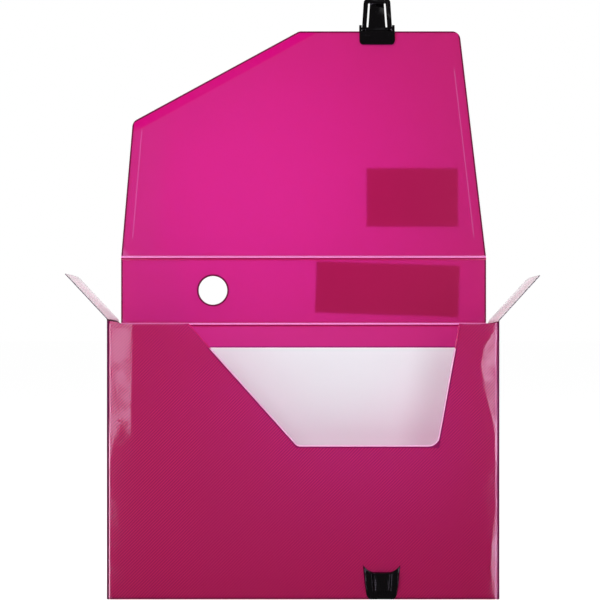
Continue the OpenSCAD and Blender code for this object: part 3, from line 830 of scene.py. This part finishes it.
def catch_grid():
    """The catch's outer and inner face, by its width u and its height v. Its half width grows from
    foot to horns, and its upper edge rises from the saddle to the horns. Its face stands out by a
    floor, a block with sloped sides and grip ribs, and two side rails, all rounded at the rim."""
    u, v = np.linspace(-1, 1, 121)[:, None], np.linspace(0, 1, 101)[None, :]
    top = 23.0 + 6.0 * np.clip((np.abs(u) * 15.75 - 6.0) / 9.75, 0, 1) ** 2.3
    z = v * top
    half = np.interp(z, [0, 4.3, 14.2, 29], [11.35, 12.9, 14.45, 15.75])
    half = half - (3 - np.sqrt(9 - np.clip(3 - z, 0, 3) ** 2))
    x, out = u * half, np.abs(u) * half
    block = np.interp(z, [5.7, 23], [7.64, 8.87])
    rail = np.interp(z, [9, 26.9], [12.7, 13.85])
    on_block = ease(out, block + 0.1, block - 2.3) * ease(z, 5.7, 8.0)
    middle = ease(out, 6.2, 4.6) * ease(z, 7.0, 8.0) * ease(z, 19.5, 17.5)
    face = 1.0 + 2.0 * on_block - middle * (0.35 + 0.16 * np.cos(z * 2 * math.pi / 1.9))
    on_rail = ease(out, rail - 0.1, rail + 0.9) * ease(z, 7.5, 11.0)
    face = face + on_rail * (0.4 + 2.0 * ease(z, 23, 21))
    rim = np.minimum(np.minimum(half - out, z), top - z)
    face = face * np.sqrt(1 - (1 - np.clip(rim / 0.9, 0, 1)) ** 2)
    x, z = np.broadcast_arrays(LATCH_X + x * MM, z * MM)
    return [np.stack([x, np.broadcast_to(y, x.shape), z], -1)
            for y in (FRONT_Y - face * MM, np.array(FRONT_Y + 0.05 * MM))]


PIN_Z = (span("lever_pin")[0][2] + span("lever_pin")[1][2]) / 2


def over_pin(x, y, z):
    """A painted highlight in a line over the lever's pin, between its slots."""
    return z.band(PIN_Z, 0.4 * MM, 0.4 * MM) * (x - LATCH_X).band(0.0, 7.0 * MM, 0.5 * MM)


black = black_gloss("black_moulding")
soft_edged("clasp_base", 0.25 * MM, "lid", black)
soft_edged("clasp_plate", 0.3 * MM, "lid", black)
soft_edged("clasp_lever", 0.5 * MM, "lever", black_gloss("black_lever", over_pin))
catch = shell("catch_moulding", *catch_grid(), [black] * 3)
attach(catch, "box")
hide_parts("catch")
for name in ("clasp_rivets", "lever_pin", "catch_plate", "catch_rivets"):
    paint(name, black)

# The studio: a wide white floor and dim surroundings, which look white to the camera, soft lights
# in front, above and behind the cover, and narrow strips of light that only the gloss shows.


def floor_paint():
    """White to the camera, and a dimmer white to the box, so that little light comes from below."""
    shader = Shader("pale_floor")
    colour = shader.mix(shader.noise(3.0), (0.88, 0.88, 0.88), (0.85, 0.85, 0.85))
    matt = shader.glossy(colour, 0.7, level=0.1)
    white = shader.add("ShaderNodeEmission", {"Strength": 1.3})
    seen = shader.add("ShaderNodeLightPath") * 0.75
    return shader.show(shader.add("ShaderNodeMixShader", {0: seen, 1: matt, 2: white}))


def flat_floor(size):
    """A level square in the plane that the box stands on."""
    mesh = bpy.data.meshes.new("floor")
    corners = [(-size, -size, 0), (size, -size, 0), (size, size, 0), (-size, size, 0)]
    mesh.from_pydata(corners, [], [(0, 1, 2, 3)])
    mesh.materials.append(floor_paint())
    ground = placed("floor", mesh)
    ground.visible_glossy = False


def surroundings(strength):
    """White to the camera, and a dim even light to the box."""
    shader = Shader("studio", bpy.data.worlds)
    white = (1.0, 1.0, 1.0, 1.0)
    lit = shader.add("ShaderNodeBackground", {"Color": white, "Strength": strength})
    seen = shader.add("ShaderNodeBackground", {"Color": white, "Strength": 1.0})
    seen = shader.add("ShaderNodeMixShader",
                      {0: shader.add("ShaderNodeLightPath"), 1: lit, 2: seen})
    bpy.context.scene.world = shader.show(seen, "ShaderNodeOutputWorld")


def soft_light(name, place, target, size, power, gloss=False, colour=(1, 1, 1)):
    """A rectangular soft light that faces a target. It lights either the colours or the gloss."""
    lamp = bpy.data.lights.new(name, "AREA")
    lamp.shape, (lamp.size, lamp.size_y), lamp.energy = "RECTANGLE", size, power
    lamp.color = colour
    holder = placed(name, lamp)
    holder.location = place
    aim = holder.location.__class__(target) - holder.location
    holder.rotation_euler = aim.to_track_quat("-Z", "Y").to_euler()
    holder.visible_camera, holder.visible_diffuse, holder.visible_glossy = False, not gloss, gloss


flat_floor(40.0)
surroundings(0.08)
# Places, targets and sizes in metres, and power in watts
soft_light("left_softbox", (-0.48, -1.25, 1.15), (-0.05, 0.0, 0.28), (0.9, 0.9), 17.6)
soft_light("right_softbox", (0.65, -1.45, 0.7), (0.05, 0.0, 0.30), (0.6, 1.0), 4.2)
soft_light("top_softbox", (0.0, 0.0, 1.4), (0.0, 0.0, 0.2), (1.2, 0.25), 9)
soft_light("back_softbox", (-0.05, 0.27, 0.345), (-0.05, 0.0, 0.345), (0.15, 0.15), 0.74)
COOL = (0.86, 0.76, 1.0)
STRIPS = (("left_strip", -0.303, 0.060, 1.5), ("right_strip", 0.302, 0.045, 1.8))
for name, x, width, power in STRIPS:
    soft_light(name, (x, -0.43, 0.125), (x, 0.0, 0.125), (width, 0.55), power, True, COOL)
soft_light("high_strip", (0.05, -0.35, 1.0), (0.05, 0.0, 0.45), (0.7, 0.10), 0.2, True)

# The camera, level and square to the front, raised and shifted to the photograph's frame
scene = bpy.context.scene
scene.view_settings.view_transform = "Standard"
camera = bpy.data.cameras.new("camera")
camera.lens, camera.sensor_width = 59.5, 36.0
camera.shift_x, camera.shift_y = -10.85 / 600, 35.8 / 600
camera.clip_start, camera.clip_end = 0.05, 100.0
scene.camera = placed("camera", camera)
scene.camera.location = (6.5 * MM, -863 * MM, 221.7 * MM)
scene.camera.rotation_euler = (math.radians(90), 0, 0)
